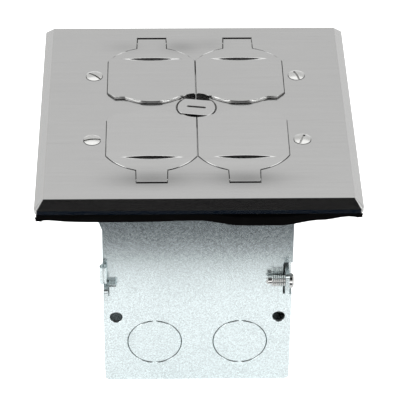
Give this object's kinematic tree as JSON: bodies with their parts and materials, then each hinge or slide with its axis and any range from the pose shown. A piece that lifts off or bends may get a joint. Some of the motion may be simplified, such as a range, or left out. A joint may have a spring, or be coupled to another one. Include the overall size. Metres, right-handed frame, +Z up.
{
  "type": "floor socket box",
  "caption": "Floor socket box: square metal cover with flip lids round a quarter-turn lock, on a ganged steel box holding twin sockets.",
  "frame": {"origin": "middle of the steel box's underside, midway between the two ganged shells", "axes": "+X to the right along the long side of each twin socket, +Y to the back across the two gangs, +Z up towards the cover"},
  "size_m": [0.1264, 0.129, 0.1043],
  "materials": {
    "satin_cover": "brushed satin plate, fine lines along X",
    "satin_lock": "satin plate, brighter at the turned edge",
    "bright_screw": "bright zinc plated steel",
    "pin_steel": "drawn steel wire",
    "keeper_steel": "plain pressed steel",
    "gasket_foam": "black closed cell foam, matt",
    "seal_rubber": "black rubber sheet, matt",
    "galvanised": "galvanised sheet with a fine pale spangle",
    "earth_green": "green dyed zinc plate",
    "strap_steel": "zinc plated strip",
    "socket_face": "semi-gloss moulded nylon",
    "socket_body": "matt moulded thermoset",
    "contact_brass": "rolled brass strip",
    "terminal_brass": "brass plated screw",
    "terminal_nickel": "nickel plated screw"
  },
  "bodies": {
    "housing": {"box_earth_screws": "earth_green", "box_shell_back": "galvanised", "box_shell_front": "galvanised", "clamp_screws": "bright_screw", "cover_plate": "satin_cover", "cover_screws": "bright_screw", "earth_clips_back": "contact_brass", "earth_clips_front": "contact_brass", "floor_gasket": "gasket_foam", "hinge_pin_back_left": "pin_steel", "hinge_pin_back_right": "pin_steel", "hinge_pin_front_left": "pin_steel", "hinge_pin_front_right": "pin_steel", "lap_screws": "bright_screw", "live_contact_back": "contact_brass", "live_contact_front": "contact_brass", "live_screws_back": "terminal_brass", "live_screws_front": "terminal_brass", "lock_washer": "keeper_steel", "neutral_contact_back": "contact_brass", "neutral_contact_front": "contact_brass", "neutral_screws_back": "terminal_nickel", "neutral_screws_front": "terminal_nickel", "side_panel_back": "galvanised", "side_panel_front": "galvanised", "socket_body_back": "socket_body", "socket_body_front": "socket_body", "socket_face_back": "socket_face", "socket_face_front": "socket_face", "socket_strap_back": "strap_steel", "socket_strap_front": "strap_steel"},
    "lid_body_front_left": {"lid_front_left": "satin_cover", "lid_seal_front_left": "seal_rubber", "lid_keeper_front_left": "keeper_steel"},
    "lid_body_front_right": {"lid_front_right": "satin_cover", "lid_seal_front_right": "seal_rubber", "lid_keeper_front_right": "keeper_steel"},
    "lid_body_back_left": {"lid_back_left": "satin_cover", "lid_seal_back_left": "seal_rubber", "lid_keeper_back_left": "keeper_steel"},
    "lid_body_back_right": {"lid_back_right": "satin_cover", "lid_seal_back_right": "seal_rubber", "lid_keeper_back_right": "keeper_steel"},
    "lock_body": {"lock_spindle": "satin_lock", "lock_cam": "keeper_steel", "lock_screw": "keeper_steel"}
  },
  "joints": [
    {"name": "lid_hinge_front_left", "type": "hinge", "parent": "housing", "child": "lid_body_front_left", "pos_m": [-0.01806, -0.0489, 0.1019], "axis": [1, 0, 0], "range_deg": [-1.4, 108.6]},
    {"name": "lid_hinge_front_right", "type": "hinge", "parent": "housing", "child": "lid_body_front_right", "pos_m": [0.01806, -0.0489, 0.1019], "axis": [1, 0, 0], "range_deg": [-1.4, 108.6]},
    {"name": "lid_hinge_back_left", "type": "hinge", "parent": "housing", "child": "lid_body_back_left", "pos_m": [-0.01806, 0.0489, 0.1019], "axis": [-1, 0, 0], "range_deg": [-1.4, 108.6]},
    {"name": "lid_hinge_back_right", "type": "hinge", "parent": "housing", "child": "lid_body_back_right", "pos_m": [0.01806, 0.0489, 0.1019], "axis": [-1, 0, 0], "range_deg": [-1.4, 108.6]},
    {"name": "lock_turn", "type": "hinge", "parent": "housing", "child": "lock_body", "pos_m": [0, 0, 0.1], "axis": [0, 0, 1], "range_deg": [0, 98.8]}
  ]
}
